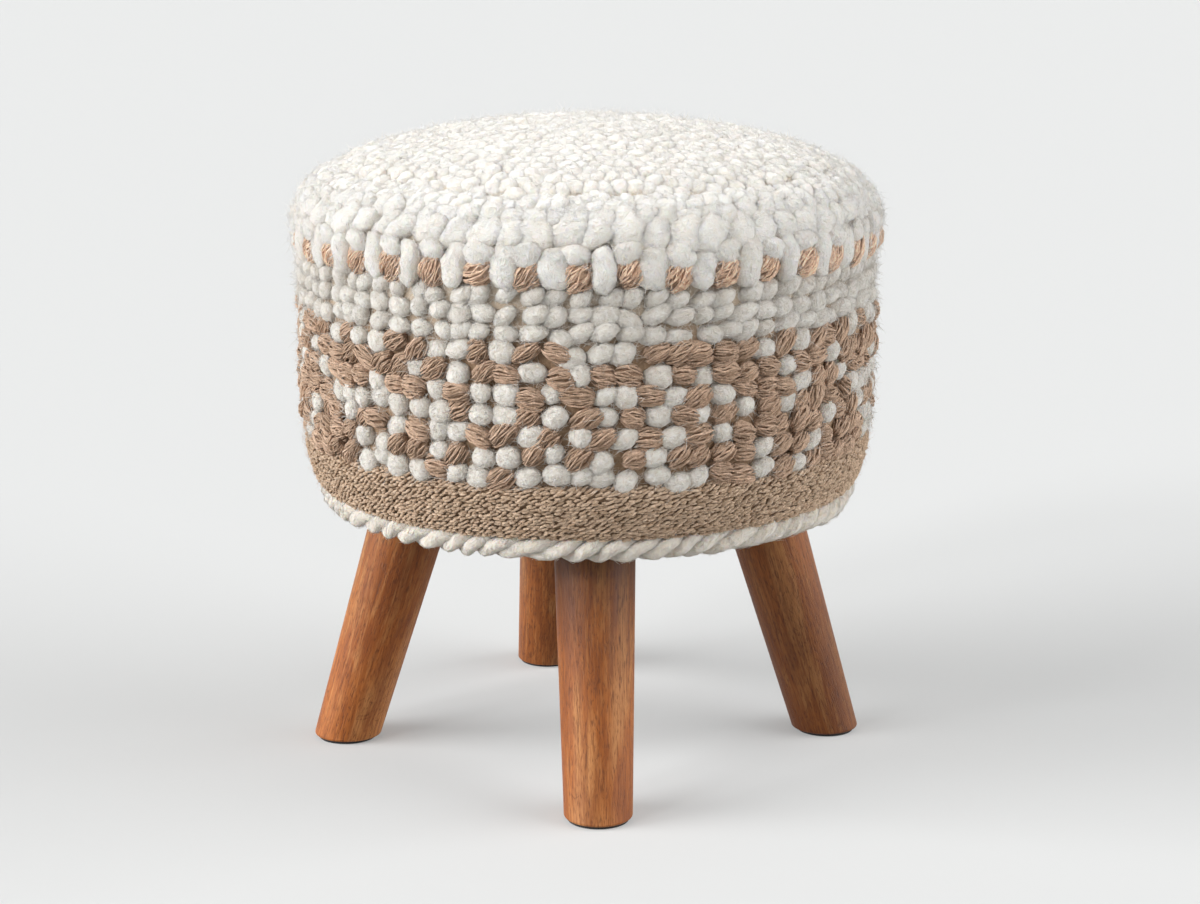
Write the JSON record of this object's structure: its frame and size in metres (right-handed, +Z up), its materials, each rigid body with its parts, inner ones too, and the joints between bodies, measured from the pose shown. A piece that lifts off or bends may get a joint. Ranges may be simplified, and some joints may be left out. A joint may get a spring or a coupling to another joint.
{
  "type": "round stool",
  "caption": "Round upholstered stool with a domed, chunky hand-woven cream and tan wool cover and splayed, tapered, turned wooden legs",
  "frame": {"origin": "on the floor under the middle of the seat, the centre of the bounding box's bottom face", "axes": "+Z is up along the stool's axis; the front leg stands towards -Y and the right leg towards +X"},
  "size_m": [0.3999, 0.4, 0.436],
  "materials": {
    "cream_wool": "thick soft cream wool yarn, puffed stitches",
    "beaded_wool": "rows of felted cream beads and plied tan beads",
    "tan_wool": "fine tan wool weave, matt",
    "wadding": "white polyester wadding",
    "foam": "open-cell upholstery foam",
    "plywood": "raw birch plywood",
    "dust_cloth": "thin black non-woven cloth",
    "staple_wire": "galvanised wire",
    "zinc_steel": "zinc-plated steel",
    "leg_wood": "oiled warm brown hardwood with open grain and small checks",
    "pad_rubber": "matt black rubber"
  },
  "bodies": {
    "root": {"cover_top_panel": "cream_wool", "cover_side_band": "beaded_wool", "cover_lower_band": "tan_wool", "hem_braid": "cream_wool", "wadding_wrap": "wadding", "crown_pad": "foam", "foam_block": "foam", "base_board": "plywood", "dust_cover": "dust_cloth", "cover_staples": "staple_wire", "dust_cover_staples": "staple_wire", "insert_nuts": "zinc_steel", "hanger_bolts": "zinc_steel", "leg_front": "leg_wood", "foot_pad_front": "pad_rubber", "leg_right": "leg_wood", "foot_pad_right": "pad_rubber", "leg_rear": "leg_wood", "foot_pad_rear": "pad_rubber", "leg_left": "leg_wood", "foot_pad_left": "pad_rubber"}
  },
  "joints": []
}
